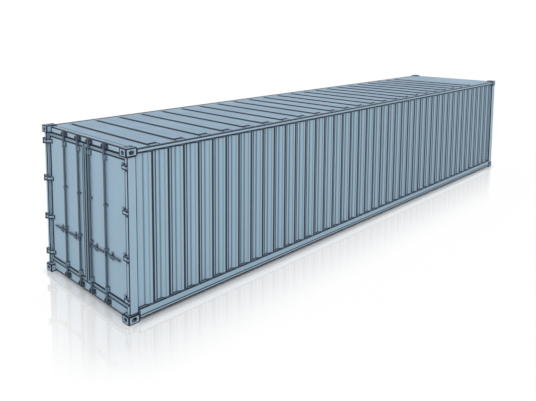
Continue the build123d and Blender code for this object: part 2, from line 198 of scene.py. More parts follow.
# The floor around: half its size, the grey with which it throws light back, how far from the container it
# mirrors it and how strongly, and how far from it the floor's own white comes up and how strongly
STAGE_HALF = 150.0
STAGE_GREY = (0.80, 0.80, 0.80, 1)
MIRROR_REACH = 1.35
MIRROR_SHARE = 0.30
GLOW_REACH = 0.16
GLOW_SHARE = 0.95

# Light: the sky's strength; then each lamp's strength, how many degrees wide it looks, and its turn from
# straight down
SKY_STRENGTH = 0.92
KEY_LAMP = (0.5, 30.0, (55, 0, 60))
FILL_LAMP = (0.25, 60.0, (50, 0, -60))

# Camera: place, heading from +Y towards -X, dip below the horizon, lens, shift of the frame and how far it
# sees
CAMERA_PLACE = (7.33, -10.06, 4.10)
CAMERA_HEADING = 46.26
CAMERA_DIP = 5.86
CAMERA_LENS = 37.51
CAMERA_SENSOR = 36.0
CAMERA_SHIFT = (0.071, -0.2276)
CAMERA_RANGE = 500.0


# Surfaces

def mesh_piece(name, points, faces, body, material, smooth=False):
    """A finished piece from an array of points and an array of faces, riding on a body."""
    mesh = bpy.data.meshes.new(name)
    mesh.from_pydata(points.tolist(), [], faces.tolist())
    shaped = bmesh.new()
    shaped.from_mesh(mesh)
    bmesh.ops.remove_doubles(shaped, verts=shaped.verts, dist=1e-5)
    bmesh.ops.dissolve_degenerate(shaped, edges=shaped.edges, dist=1e-6)
    bmesh.ops.recalc_face_normals(shaped, faces=shaped.faces)
    shaped.to_mesh(mesh)
    shaped.free()
    mesh.polygons.foreach_set("use_smooth", [smooth] * len(mesh.polygons))
    mesh.materials.append(material)
    piece = bpy.data.objects.new(name, mesh)
    bpy.context.scene.collection.objects.link(piece)
    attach(piece, body)
    return piece


def grid_faces(rows, columns):
    """Quads that join each point of a rows by columns grid to the next row and the next column, where the
    last column is beside the first."""
    row = np.arange(rows - 1)[:, None] * columns
    column = np.arange(columns)[None, :]
    beside = (column + 1) % columns
    quads = np.stack([row + column, row + beside, row + columns + beside, row + columns + column], axis=-1)
    return quads.reshape(-1, 4)


def copies(points, faces, places):
    """The same shape at many places: every point is shifted by every place in one sum."""
    many = points[None] + np.asarray(places, float)[:, None]
    shifts = np.arange(len(places))[:, None, None] * len(points)
    return many.reshape(-1, 3), (faces[None] + shifts).reshape(-1, faces.shape[1])


def turned(points, facing):
    """Points drawn about +Z, laid over so that +Z faces the given way."""
    z = np.asarray(facing, float)
    x = np.array([z[1], z[2], z[0]])
    y = np.cross(z, x)
    return points[:, :1] * x + points[:, 1:2] * y + points[:, 2:] * z


def bolt_head(radius, rise, sides=6, columns=12):
    """A headed bolt on its washer: the radius is 1.35 R on the washer, then R cut by the flats of a polygon,
    cos(pi / n) / cos(angle folded into one side), and the height follows a few steps up to a low dome."""
    turn = np.linspace(0, 2 * math.pi, columns, endpoint=False)
    side = 2 * math.pi / sides
    flats = math.cos(side / 2) / np.cos((turn % side) - side / 2)
    # Shares of the radius and of the height, and 1 where the flats cut the step
    steps = np.array([(1.35, 0.0, 0), (1.35, 0.18, 0), (1.0, 0.18, 1), (1.0, 0.85, 1), (0.8, 1.0, 1),
                      (0.0, 1.04, 1)])
    spread = radius * steps[:, :1] * np.where(steps[:, 2:] > 0, flats[None], 1.0)
    points = np.stack([spread * np.cos(turn), spread * np.sin(turn),
                       np.broadcast_to(rise * steps[:, 1:2], spread.shape)], axis=-1)
    return points.reshape(-1, 3), grid_faces(len(steps), columns)


def rivet_head(radius, rise, rows=3, columns=8):
    """A low dome: radius R cos(a) and height h sin(a), for a from 0 to a quarter turn."""
    a = np.linspace(0, math.pi / 2, rows + 1)[:, None]
    turn = np.linspace(0, 2 * math.pi, columns, endpoint=False)[None]
    points = np.stack([radius * np.cos(a) * np.cos(turn), radius * np.cos(a) * np.sin(turn),
                       rise * np.sin(a) * np.ones_like(turn)], axis=-1)
    return points.reshape(-1, 3), grid_faces(rows + 1, columns)


def bead(path, radius, up):
    """A weld bead: a six-sided ring of the given radius carried along a path of points, with one axis along
    the fixed direction up and the other across the path. Where the path turns, the ring stands halfway
    between the two ways and is wider by one over the cosine of half the turn. Both ends are closed."""
    path = np.asarray(path, float)
    way = np.diff(path, axis=0)
    way /= np.linalg.norm(way, axis=1, keepdims=True)
    along = np.concatenate([way[:1], way[:-1] + way[1:], way[-1:]])
    along /= np.linalg.norm(along, axis=1, keepdims=True)
    wider = 1 / np.sum(along * np.concatenate([way, way[-1:]]), axis=1, keepdims=True)
    across = np.cross(along, np.asarray(up, float)) * wider
    row = [0, *range(len(path)), len(path) - 1]
    size = np.full((len(row), 1, 1), radius)
    size[[0, -1]] = 0
    turn = np.linspace(0, 2 * math.pi, 6, endpoint=False)[None, :, None]
    ring = path[row, None] + size * (np.cos(turn) * up + np.sin(turn) * across[row, None])
    return ring.reshape(-1, 3), grid_faces(len(row), 6)


def joined(shapes):
    """Several (points, faces) pairs as one."""
    shifts = np.cumsum([0] + [len(points) for points, _ in shapes[:-1]])
    points = np.concatenate([points for points, _ in shapes])
    return points, np.concatenate([faces + shift for (_, faces), shift in zip(shapes, shifts)])


def fold_span(low, high, pitch, inner_flat):
    """Where the folds of a sheet start and how many there are: all that fit, centred between its ends."""
    count = int((high - low - inner_flat) // pitch)
    return low + (high - low - count * pitch + inner_flat) / 2, count


def fold_run(low, high, pitch, outer_flat, inner_flat, depth):
    """Points (along, out) of a folded sheet: its ends, and for each fold the foot and top of its rise and
    the top and foot of its fall."""
    start, count = fold_span(low, high, pitch, inner_flat)
    slope = (pitch - outer_flat - inner_flat) / 2
    steps = np.array([(0, 0), (slope, depth), (slope + outer_flat, depth), (2 * slope + outer_flat, 0)])
    folds = steps[None] + np.stack([start + pitch * np.arange(count), np.zeros(count)], axis=1)[:, None]
    return np.concatenate([[(low, 0)], folds.reshape(-1, 2), [(high, 0)]])


def solids(name):
    """The lowest and highest corners of each separate solid of a node. Points at one place are one spot, and
    every spot takes the least number among the spots of its faces, until no number changes."""
    mesh = frame["nodes"][name].data
    points = np.empty(3 * len(mesh.vertices))
    mesh.vertices.foreach_get("co", points)
    spots, spot_of = np.unique(points.reshape(-1, 3).round(5), axis=0, return_inverse=True)
    corners = np.empty(len(mesh.loops), np.int32)
    mesh.loops.foreach_get("vertex_index", corners)
    faces = spot_of.ravel()[corners].reshape(-1, 3)
    number = np.arange(len(spots))
    changed = True
    while changed:
        least = number.copy()
        np.minimum.at(least, faces, number[faces].min(axis=1, keepdims=True))
        changed = (least != number).any()
        number = least
    groups = [spots[number == one] for one in np.unique(number)]
    return [(group.min(axis=0), group.max(axis=0)) for group in groups]


def around(low, high, axis, level):
    """The outline of a box seen along an axis, as a closed path at a level on that axis."""
    first, second = [other for other in range(3) if other != axis]
    path = np.full((5, 3), float(level))
    path[:, first] = np.array([low[first], high[first], high[first], low[first], low[first]])
    path[:, second] = np.array([low[second], low[second], high[second], high[second], low[second]])
    return path


def stadium(x, y, z, width, height):
    """The closed outline of an upright plate with round ends: half circles with straight sides between."""
    turn = np.linspace(0, 2 * math.pi, 25)
    rise = (height - width) / 2 * np.where(np.sin(turn) > 0, 1, -1) + width / 2 * np.sin(turn)
    return np.stack([x + width / 2 * np.cos(turn), 0 * turn + y, z + rise], axis=1)


# Shader maths

def linear(colour):
    """A screen colour as the light it stands for: each channel to the power 2.4, with a straight foot."""
    share = np.array(colour, float) / 255
    light = np.where(share > 0.04045, ((share + 0.055) / 1.055) ** 2.4, share / 12.92)
    return (*light.tolist(), 1.0)


def scaled(colour, factor):
    """A screen colour made darker or lighter by a factor."""
    return [channel * factor for channel in colour]


def below(value, start, end):
    """How far a value lies inside the nearer end of a span."""
    return (end - start) / 2 - (value - (start + end) / 2).size()


class Value:
    """A number that varies over a surface. Sums and products of values add Math nodes to their tree."""

    def __init__(self, nodes, socket):
        self.nodes = nodes
        self.socket = socket

    def maths(self, operation, *others):
        """One Math node, with this value first."""
        inputs = {index: given for index, given in enumerate((self, *others))}
        return self.nodes.node("Math", {"operation": operation}, inputs)

    def __add__(self, other):
        return self.maths("ADD", other)

    def __sub__(self, other):
        return self.maths("SUBTRACT", other)

    def __rsub__(self, other):
        return self.nodes.node("Math", {"operation": "SUBTRACT"}, {0: other, 1: self})

    def __mul__(self, other):
        return self.maths("MULTIPLY", other)

    def __truediv__(self, other):
        return self.maths("DIVIDE", other)

    def size(self):
        return self.maths("ABSOLUTE")

    def root(self):
        return self.maths("SQRT")

    def repeat(self):
        return self.maths("FRACT")

    def least(self, other):
        return self.maths("MINIMUM", other)

    def most(self, other):
        return self.maths("MAXIMUM", other)

    def fade(self, start, end):
        """0 up to start and 1 from end, with a smooth step between; start may be the larger."""
        settings = {"interpolation_type": "SMOOTHSTEP"}
        low, high = (start, end) if start < end else (end, start)
        rising = float(start < end)
        ends = {"From Min": low, "From Max": high, "To Min": 1 - rising, "To Max": rising}
        return self.nodes.node("MapRange", settings, {"Value": self, **ends})

    def within(self, reach, spread):
        """1 up to a reach and 0 past it, with a smooth step that spreads to both sides of the reach."""
        return self.fade(reach + spread, reach - spread)

    __radd__ = __add__
    __rmul__ = __mul__


class Nodes:
    """The nodes of a material or a world. node() adds any node: its settings, then its sockets' values or
    links."""

    def __init__(self, owner):
        owner.use_nodes = True
        self.tree = owner.node_tree

    def feed(self, socket, given):
        """Links a value to a socket, or sets the socket to a number, a colour or a vector."""
        if isinstance(given, Value):
            self.tree.links.new(given.socket, socket)
        else:
            socket.default_value = given

    def node(self, kind, settings=None, inputs=None, output=0):
        node = self.tree.nodes.new("ShaderNode" + kind)
        for name, setting in (settings or {}).items():
            setattr(node, name, setting)
        for name, given in (inputs or {}).items():
            self.feed(node.inputs[name], given)
        return Value(self, node.outputs[output])


class Finish(Nodes):
    """A material in the making."""

    def __init__(self, name):
        self.material = bpy.data.materials.new(name)
        super().__init__(self.material)
        self.shader = self.tree.nodes["Principled BSDF"]

    def mix(self, share, first, second):
        """The first colour where the share is 0 and the second where it is 1."""
        inputs = {0: share, 6: first, 7: second}
        return self.node("Mix", {"data_type": "RGBA", "clamp_factor": True}, inputs, 2)

    def parts(self, output):
        """X, Y and Z of a texture coordinate."""
        parts = self.tree.nodes.new("ShaderNodeSeparateXYZ")
        self.feed(parts.inputs[0], self.node("TexCoord", output=output))
        return [Value(self, socket) for socket in parts.outputs]

    def place(self):
        """X, Y and Z on the piece, in metres."""
        return self.parts("Object")

    def facing(self):
        """The X, Y and Z parts of the direction that the surface faces, on the piece itself."""
        return self.parts("Normal")

    def noise(self, scale, stretch=(1, 1, 1), detail=3.0):
        """Cloudy values from 0 to 1, scale patches a metre, stretched along each axis."""
        point = self.node("TexCoord", output="Object")
        point = self.node("Mapping", inputs={"Vector": point, "Scale": stretch})
        return self.node("TexNoise", inputs={"Vector": point, "Scale": scale, "Detail": detail})

    def edges(self, radius, turns=(0.008, 0.035)):
        """1 beside an edge and 0 on a flat: one less the cosine between the rounded and the true normal,
        coming up between the two given turns."""
        rounded = self.node("Bevel", {"samples": 6}, {"Radius": radius})
        true = self.node("NewGeometry", output="Normal")
        cosine = self.node("VectorMath", {"operation": "DOT_PRODUCT"}, {0: rounded, 1: true}, "Value")
        return (1 - cosine).fade(*turns)

    def depths(self, low, high, reaches):
        """How deep the surface lies below the nearer face of a box along each axis, in line reaches. The box
        stands for its twins as well: both ends and both sides are mirrored onto it, and so is the other half
        of the height."""
        x, y, z = self.place()
        z = (z - MIDDLE_HEIGHT).size() + MIDDLE_HEIGHT if low[2] > MIDDLE_HEIGHT else z
        x = x.size() if low[0] > 0 else x
        y = y.size() if low[1] > 0 else y
        spans = zip((x, y, z), low, high, reaches)
        return [below(value, start, end) / reach for value, start, end, reach in spans]

    def box_lines(self, low, high, reaches=LINE_REACH):
        """1 along the edges of a box: the middle one of the three depths is small only beside an edge."""
        a, b, c = self.depths(low, high, reaches)
        middle = a.least(b).most(a.most(b).least(c))
        return middle.within(1.0, 0.15)

    def close(self, colour, roughness, height, depth, metallic=0.0):
        """Feeds the shader: colour and roughness may vary, and height becomes bumps of the given depth."""
        self.feed(self.shader.inputs["Base Color"], colour)
        self.feed(self.shader.inputs["Roughness"], roughness)
        self.feed(self.shader.inputs["Metallic"], metallic)
        self.feed(self.shader.inputs["Specular IOR Level"], GLOSS)
        bump = self.node("Bump", inputs={"Height": height, "Distance": depth, "Strength": 1.0})
        self.feed(self.shader.inputs["Normal"], bump)
        return self.material


# Finishes

def aged_and_sky_shaded(finish, colour):
    """Paint with faint clouds of fading, runs that go down the surface and a little dust low down, and
    painted shade where it faces the sky, which evens out the extra light that falls on it from above."""
    clouds = finish.noise(1.3, (1, 0.6, 0.7)).fade(0.35, 0.75)
    runs = finish.noise(9.0, (1, 1, 0.06), 2.0).fade(0.55, 0.85)
    low = finish.place()[2].fade(0.5, 0.0)
    # Painted shade: faces that look up are darkened by SKY_SHADE, to even out the extra light from above
    sky_facing_shade = finish.facing()[2].fade(0.6, 0.95)
    shaded = [channel * shade for channel, shade in zip(colour, SKY_SHADE)]
    plain = finish.mix(sky_facing_shade, linear(colour), linear(shaded))
    faded = finish.mix(clouds * 0.30, plain, linear([channel + 9 for channel in colour]))
    return finish.mix((runs * 0.16 + low * 0.10).least(1.0), faded, linear(scaled(colour, 0.82)))


def satin(finish):
    """The roughness of rolled paint, with cloudy patches."""
    return 0.42 + finish.noise(6.0) * 0.16


def painted(finish, lines, colour=BODY_BLUE):
    """Satin paint on steel, dark where lines is 1, with a fine pebbled skin."""
    base = finish.mix(lines, aged_and_sky_shaded(finish, colour), linear(INK))
    return finish.close(base, satin(finish), finish.noise(PAINT_GRAIN), PAINT_DEPTH)


def edged_paint(name, colour, *lines):
    """Paint with a dark line along every edge of a piece, whatever its shape."""
    finish = Finish(name)
    return painted(finish, finish.edges(*lines), colour)


def long_paint(node, bands=(), reaches=LINE_REACH):
    """Paint on a long straight member and its twins, with a dark line along each edge of its box and between
    the given pairs of heights."""
    finish = Finish(node.removesuffix("_right") + "_paint")
    low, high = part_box(node)
    lines = finish.box_lines(low, high, reaches)
    for bottom, top in bands:
        height = finish.place()[2]
        lines = lines.most(height.fade(bottom - 0.002, bottom) * height.fade(top + 0.002, top))
    return painted(finish, lines)


def growth(run, low, high):
    """How much wider a drawn line is along the container: from 1 at the low end up to LINE_GROWTH."""
    return (run - low) * ((LINE_GROWTH - 1) / (high - low)) + 1


def near_edge(run, pitch, edge, width, wider, back=0.0):
    """1 within half a width of a fold edge, which comes once in every pitch of the run. The line's middle
    moves back along the run by a share of what its width gains."""
    off = ((run - edge + (wider - 1.0) * (back * width)) / pitch + 0.5).repeat() - 0.5
    return (off.size() * pitch / wider).within(width * 0.5, width * 0.12)


def folded_paint(name, node, axis, pitch, outer_flat, inner_flat):
    """Paint on folded sheet, with a dark line along each edge of the folds and where the sheet ends."""
    low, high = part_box(node)
    start, count = fold_span(low[axis], high[axis], pitch, inner_flat)
    slope = (pitch - outer_flat - inner_flat) / 2
    finish = Finish(name)
    place = finish.place()
    run = place[axis]
    inside = below(run, start, start + count * pitch).fade(-0.03, -0.02)
    edges = {start: RISE_FOOT_LINE, start + slope: RISE_TOP_LINE, start + slope + outer_flat: FALL_TOP_LINE,
             start + pitch - inner_flat: FALL_FOOT_LINE}
    wider = growth(run, low[1], high[1]) if axis == 1 else 1.0
    lines = 0.0
    for edge, (width, darkness, back) in edges.items():
        line = near_edge(run, pitch, edge, width, wider, back)
        lines = (line * wider * (darkness * inside)).most(lines)
    ends = below(place[2], low[2], high[2]).within(LINE_REACH[2], LINE_REACH[2] * 0.15)
    return painted(finish, lines.most(ends))


def roof_paint():
    """Paint on the roof: the ribs' sloped sides and the long edges are dark, with faint clouds of dust."""
    finish = Finish("roof_paint")
    low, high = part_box("roof")
    x, y, _ = finish.place()
    up = finish.facing()[2]
    slopes = up.fade(0.985, 0.94) * up.fade(0.5, 0.7)
    left = (x - float(low[0])).within(ROOF_LINES[0], ROOF_LINES[0] * 0.1)
    right = (float(high[0]) - x).within(ROOF_LINES[1], ROOF_LINES[1] * 0.1)
    lines = slopes.most(left).most(right)
    first = low[1] + ROOF_FLATS[0]
    last = high[1] - ROOF_FLATS[1]
    pitch = (last - first) / (RIB_COUNT - 1)
    ribs = below(y, first - pitch / 2, last + pitch / 2).fade(-0.001, 0.001)
    ribs = ribs * below(x, low[0] + RIB_CLEAR[0], high[0] - RIB_CLEAR[1]).fade(0.002, 0.004)
    wider = growth(y, low[1], high[1])
    for side in (-RIB_SLOPE, RIB_SLOPE):
        line = near_edge(y, pitch, first + side, RIB_LINE, wider)
        lines = (line * ribs).most(lines)
    dust = finish.noise(2.2, (1, 0.5, 1)).fade(0.4, 0.8)
    # The roof faces the sky, so all of it takes the painted shade of up-facing paint; the dust mixes part of
    # it back to the plain body colour
    base = finish.mix(dust * 0.12, aged_and_sky_shaded(finish, BODY_BLUE), linear(BODY_BLUE))
    base = finish.mix(lines, base, linear(INK))
    return finish.close(base, satin(finish) + 0.06, finish.noise(240.0), 0.0003)


def strap_paint():
    """Paint on the hinge straps, all of one height: dark along the edges of their outer face, along the
    bend, at the end on the leaf and beside the knuckle."""
    finish = Finish("strap_paint")
    x, _, z = finish.place()
    across = x.size()
    boxes = solids("hinge_straps_right")
    low, high = boxes[0]
    middles = [(bottom[2] + top[2]) / 2 for bottom, top in boxes]
    nearest = (z - middles[0]).size()
    for middle in middles[1:]:
        nearest = nearest.least((z - middle).size())
    upright = finish.facing()[2].size().fade(0.7, 0.3)
    rim = ((high[2] - low[2]) / 2 - nearest).within(STRAP_RIM, 0.002) * upright
    end = (across - float(low[0])).within(STRAP_RIM, 0.002)
    bend = (across - float(high[0] - BEND_PLACE)).size().within(BEND_LINE / 2, 0.0015)
    knuckle = (across - float(high[0] - KNUCKLE_PLACE)).size().within(KNUCKLE_LINE / 2, 0.0015)
    return painted(finish, rim.most(end.most(bend).most(finish.edges(0.010)) * upright).most(knuckle))


def cast_paint():
    """Paint over a sand-cast surface: a coarser grain, with dark lines along edges and round the holes."""
    finish = Finish("casting_paint")
    grain = finish.noise(90.0, detail=6.0)
    low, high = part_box("casting_back_right_top")
    lines = finish.box_lines(low, high).most(finish.edges(0.014))
    base = finish.mix(lines, aged_and_sky_shaded(finish, BODY_BLUE), linear(INK))
    return finish.close(base, 0.5 + grain * 0.15, grain, 0.0012)


def seal_depth(finish):
    """How far inside the outer edge of its door's rubber a point of either leaf lies."""
    low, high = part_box("door_seal_right")
    x, _, z = finish.place()
    return below(x.size(), low[0], high[0]).least(below(z, low[2], high[2]))


def leaf_paint():
    """Paint on a door's frame and panel, with a dark joint where the rubber's face strip ends."""
    finish = Finish("door_paint")
    return painted(finish, seal_depth(finish).within(SEAL_FACE + LEAF_JOINT, 0.003))


def bar_paint():
    """Dull zinc under thin paint on the locking bars: darker than the body, with flakes of zinc."""
    finish = Finish("bar_paint")
    flakes = finish.noise(120.0, (1, 1, 0.4), 1.0).fade(0.35, 0.7)
    base = finish.mix(flakes * 0.25, aged_and_sky_shaded(finish, BAR_BLUE), linear([channel + 18 for channel in BAR_BLUE]))
    base = finish.mix(finish.edges(0.006), base, linear(INK))
    return finish.close(base, 0.36 + flakes * 0.16, flakes, 0.0001, metallic=0.2)


def weld_paint():
    """Paint over weld beads: darker than the sheets that they join, with the ripples of each bead."""
    finish = Finish("weld_paint")
    ripple = finish.noise(220.0, detail=2.0)
    base = finish.mix(0.55 + ripple * 0.3, linear(BODY_BLUE), linear(INK))
    return finish.close(base, 0.5 + ripple * 0.1, ripple, 0.0008)


def rubber():
    """Matt door rubber with faint bloom, dark along its two rims and faintly so beside its beads."""
    finish = Finish("seal_rubber")
    depth = seal_depth(finish)
    outer = depth.within(SEAL_RIMS[0], 0.0015)
    inner = depth.fade(SEAL_FACE - SEAL_RIMS[1] - 0.002, SEAL_FACE - SEAL_RIMS[1] + 0.002)
    bloom = finish.noise(14.0).fade(0.4, 0.8)
    base = finish.mix(bloom * 0.3, linear(RUBBER_GREY), linear(BODY_BLUE))
    base = finish.mix(outer.most(inner).most(finish.edges(0.004) * 0.4), base, linear(INK))
    return finish.close(base, 0.72 + bloom * 0.15, finish.noise(400.0), 0.0002)


def plywood():
    """Varnished plywood boards: grain that runs with the floor, and a dark joint round every board."""
    finish = Finish("floor_ply")
    across, along, _ = finish.place()
    lane = (across / BOARD_JOINTS[0]).repeat() - 0.5
    board = (along / BOARD_JOINTS[1]).repeat() - 0.5
    joints = (0.5 - board.size()).fade(0.0035, 0.0015).most((0.5 - lane.size()).fade(0.007, 0.003))
    grain = finish.noise(5.0, (16, 0.5, 16), 6.0)
    worn = finish.noise(1.1).fade(0.3, 0.8)
    base = finish.mix(grain, linear(scaled(PLY_BROWN, 0.8)), linear(scaled(PLY_BROWN, 1.12)))
    base = finish.mix(worn * 0.3, base, linear(scaled(PLY_BROWN, 0.7)))
    base = finish.mix(joints, base, linear(PLY_JOINT))
    return finish.close(base, 0.38 + grain * 0.25, grain - joints, 0.0006)


def bare_steel():
    """Zinc-plated steel on screws and rivets, dulled in patches."""
    finish = Finish("screw_steel")
    dull = finish.noise(60.0).fade(0.3, 0.8)
    base = finish.mix(dull * 0.5, linear(BODY_BLUE), linear(BARE_STEEL))
    base = finish.mix(finish.edges(0.003), base, linear(INK))
    return finish.close(base, 0.35 + dull * 0.3, finish.noise(300.0), 0.0002, metallic=0.25)


def dress():
    """Gives every node of the model its finish, chosen by how the node's name starts."""
    plates = edged_paint("plate_paint", BODY_BLUE, *FITTING_LINES)
    leaf = leaf_paint()
    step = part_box("bottom_rail_right")[0][2] + RAIL_BAND
    finishes = {
        "casting": cast_paint(),
        "door_post": long_paint("door_post_right", reaches=POST_REACH),
        "back_post": long_paint("back_post_right"),
        "top_rail": long_paint("top_rail_right"),
        "bottom_rail": long_paint("bottom_rail_right", [(step - RAIL_STEP, step)]),
        "side_wall": folded_paint("side_wall_paint", "side_wall_right", 1, *WALL_FOLDS),
        "back_wall": folded_paint("back_wall_paint", "back_wall", 0, *BACK_FOLDS),
        "roof": roof_paint(),
        "floor": plywood(),
        "cross_members": edged_paint("member_paint", BODY_BLUE, 0.010),
        "door_frame": leaf,
        "door_panel": leaf,
        "door_seal": rubber(),
        "hinge_lugs": plates,
        "hinge_straps": strap_paint(),
        "bar_guides": plates,
        "handle_catches": plates,
        "keepers": edged_paint("keeper_paint", BAR_BLUE, *FITTING_LINES),
        "lock_bar": bar_paint(),
        "lock_handle": edged_paint("gear_paint", GEAR_BLUE, *FITTING_LINES)}
    finishes.update((node, long_paint(node)) for node in FRAME_ENDS)
    for name, node in frame["nodes"].items():
        node.data.materials.clear()
        node.data.materials.append(next(finishes[start] for start in finishes if name.startswith(start)))


# Welds, bolts, screws and rivets

def weld(name, paths, body, material):
    """One piece of several beads, each given by its path, the fixed direction of its ring and its radius."""
    points, faces = joined([bead(path, radius, up) for path, up, radius in paths])
    mesh_piece(name, points, faces, body, material, smooth=True)


def heads(name, shape, places, facing, body, material):
    """One piece of like heads at several places, all facing one way along an axis."""
    points, faces = shape
    points, faces = copies(turned(points, facing), faces, places)
    mesh_piece(name, points, faces, body, material)


def wall_welds(material):
    """Beads along the folds where the walls meet the frame above and below them."""
    paths = []
    for side, sign in SIDES.items():
        low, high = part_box(f"side_wall_{side}")
        depth = high[0] - low[0] - SHEET
        folds = fold_run(low[1], high[1], *WALL_FOLDS, depth)
        outer = high[0] if sign > 0 else -low[0]
        across = sign * (outer - depth + folds[:, 1])
        for level in (low[2], high[2]):
            path = np.stack([across, folds[:, 0], np.full(len(folds), level)], axis=1)
            paths.append((path, UP, WIDE_BEAD))
    low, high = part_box("back_wall")
    depth = high[1] - low[1] - SHEET
    folds = fold_run(low[0], high[0], *BACK_FOLDS, depth)
    for level in (low[2], high[2]):
        path = np.stack([folds[:, 0], high[1] - depth + folds[:, 1], np.full(len(folds), level)], axis=1)
        paths.append((path, UP, WIDE_BEAD))
    weld("wall_welds", paths, "container", material)


def frame_welds(material):
    """Beads round the posts at their castings, along the roof's edges and at the rails' ends."""
    paths = []
    for side, sign in SIDES.items():
        low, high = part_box(f"door_post_{side}")
        paths += [(around(low, high, 2, level), UP, WIDE_BEAD) for level in (low[2], high[2])]
        low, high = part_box(f"back_post_{side}")
        inner, outer = (low[0], high[0]) if sign > 0 else (high[0], low[0])
        for level in (low[2], high[2]):
            corner = [(outer, low[1], level), (outer, high[1], level), (inner, high[1], level)]
            paths.append((corner, UP, WIDE_BEAD))
        low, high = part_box(f"top_rail_{side}")
        outer = high[0] if sign > 0 else low[0]
        paths.append(([(outer, low[1], high[2]), (outer, high[1], high[2])], UP, THIN_BEAD))
        paths += [([(outer, end, low[2]), (outer, end, high[2])], ALONG, BEAD) for end in (low[1], high[1])]
        low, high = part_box(f"bottom_rail_{side}")
        outer = high[0] if sign > 0 else low[0]
        step = low[2] + RAIL_BAND
        for end in (low[1], high[1]):
            profile = [(outer, end, low[2]), (outer, end, step - RAIL_STEP),
                       (outer - sign * RAIL_STEP, end, step), (outer - sign * RAIL_STEP, end, high[2])]
            paths.append((profile, ALONG, BEAD))
    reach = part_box("door_header")[1][0]
    for node in FRAME_ENDS:
        low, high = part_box(node)
        face = low[1] if low[1] < 0 else high[1]
        for edge in (-reach, reach):
            paths.append(([(edge, face, low[2]), (edge, face, high[2])], ACROSS, BEAD))
    weld("frame_welds", paths, "container", material)


def gear_welds(material):
    """Beads round the foot of each keeper and each hinge lug."""
    paths = [(around(low, high, 1, high[1]), ALONG, BEAD) for low, high in solids("keepers")]
    for low, high in solids("hinge_lugs"):
        seat_low, seat_high = low.copy(), high.copy()
        if low[0] > 0:
            seat_high[0] = low[0] + LUG_SEAT
        else:
            seat_low[0] = high[0] - LUG_SEAT
        for bottom, top in ((low[2], low[2] + LUG_THICKNESS), (high[2] - LUG_THICKNESS, high[2])):
            seat_low[2], seat_high[2] = bottom, top
            paths.append((around(seat_low, seat_high, 1, high[1]), ALONG, THIN_BEAD))
    weld("gear_welds", paths, "container", material)


def door_sealing(side, material):
    """Beads of paint and sealing that close the joint round each guide's and each catch's plate."""
    paths = []
    for low, high in solids(f"bar_guides_{side}"):
        paths.append((around(low, high, 1, high[1] - SEALING_LIFT), ALONG, BEAD))
    for low, high in solids(f"handle_catches_{side}"):
        x, _, z = (low + high) / 2
        outline = stadium(x, high[1] - CATCH_PLATE, z, high[0] - low[0], high[2] - low[2])
        paths.append((outline, ALONG, WIDE_BEAD))
    weld(f"door_sealing_{side}", paths, f"door_{side}", material)


def door_bolts(side, sign, material):
    """Bolts through the hinge straps, the bars' guides and the handles' catches of one leaf."""
    leaf = f"door_{side}"
    places = []
    for low, high in solids(f"hinge_straps_{side}"):
        x = (low[0] if sign > 0 else high[0]) + sign * STRAP_SEAT / 2
        z = (low[2] + high[2]) / 2
        places += [(x, high[1] - STRAP_FOOT, z + rise) for rise in (-STRAP_BOLT_RISE, STRAP_BOLT_RISE)]
    heads(f"strap_bolts_{side}", bolt_head(*STRAP_BOLT), places, DOORWARDS, leaf, material)
    places = []
    for low, high in solids(f"bar_guides_{side}"):
        x, _, z = (low + high) / 2
        rises = (-GUIDE_BOLT_RISE, GUIDE_BOLT_RISE) if high[2] - low[2] > TALL_GUIDE else (0.0,)
        for rise in rises:
            places += [(x + way * GUIDE_BOLT_REACH, high[1] - GUIDE_FOOT, z + rise) for way in (-1, 1)]
    for low, high in solids(f"handle_catches_{side}"):
        x, _, z = (low + high) / 2
        places += [(x, high[1] - CATCH_PLATE, z + rise) for rise in (-CATCH_BOLT_RISE, CATCH_BOLT_RISE)]
    heads(f"guide_bolts_{side}", bolt_head(*PLATE_BOLT), places, DOORWARDS, leaf, material)


def seal_rivets(side, material):
    """Rivets that hold the rubber's face strip to the leaf, in the groove between its two inner beads."""
    low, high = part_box(f"door_seal_{side}")
    face = low[1] + SEAL_BEAD
    xs = np.linspace(low[0] + SEAL_RIVET_INSET, high[0] - SEAL_RIVET_INSET, SEAL_RIVETS_ACROSS)
    zs = np.linspace(low[2] + SEAL_RIVET_INSET, high[2] - SEAL_RIVET_INSET, SEAL_RIVETS_UP)
    places = [(x, face, z) for x in xs for z in (zs[0], zs[-1])]
    places += [(x, face, z) for z in zs[1:-1] for x in (xs[0], xs[-1])]
    heads(f"seal_rivets_{side}", rivet_head(*SEAL_RIVET), places, DOORWARDS, f"door_{side}",
          material)


def bar_rings(body, bar, handle, material):
    """Weld rings where a locking bar enters its cams and its handle's collar."""
    low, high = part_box(bar)
    collar_low, collar_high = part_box(handle)
    turn = np.linspace(0, 2 * math.pi, 17)
    ring = np.stack([BAR_RADIUS * np.cos(turn), BAR_RADIUS * np.sin(turn), 0 * turn], axis=1)
    x, y, _ = AXES[body]
    levels = (low[2] + HUB_HEIGHT, high[2] - HUB_HEIGHT, collar_low[2], collar_high[2])
    rings = [(ring + (x, y, level), UP, THIN_BEAD) for level in levels]
    weld(body.replace("bar_", "bar_welds_"), rings, body, material)


def handle_rivet(body, sign, handle, material):
    """The rivet through a handle beside its bar."""
    low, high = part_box(handle)
    x, y, _ = AXES[body]
    place = (x + sign * HANDLE_RIVET_REACH, y - HANDLE_THICKNESS / 2, (low[2] + high[2]) / 2)
    heads(body.replace("bar_", "handle_rivet_"), rivet_head(*HANDLE_RIVET, rows=4, columns=12), [place],
          DOORWARDS, body, material)


def pin_heads(material):
    """Low domes on both ends of every hinge pin."""
    dome = rivet_head(*PIN_HEAD, rows=4, columns=12)
    for name, facing, end in (("pin_tops", UP, 1), ("pin_feet", DOWN, 0)):
        places = []
        for solid in solids("hinge_lugs"):
            x, y, _ = AXES["door_right" if solid[0][0] > 0 else "door_left"]
            places.append((x, y, solid[end][2]))
        heads(name, dome, places, facing, "container", material)


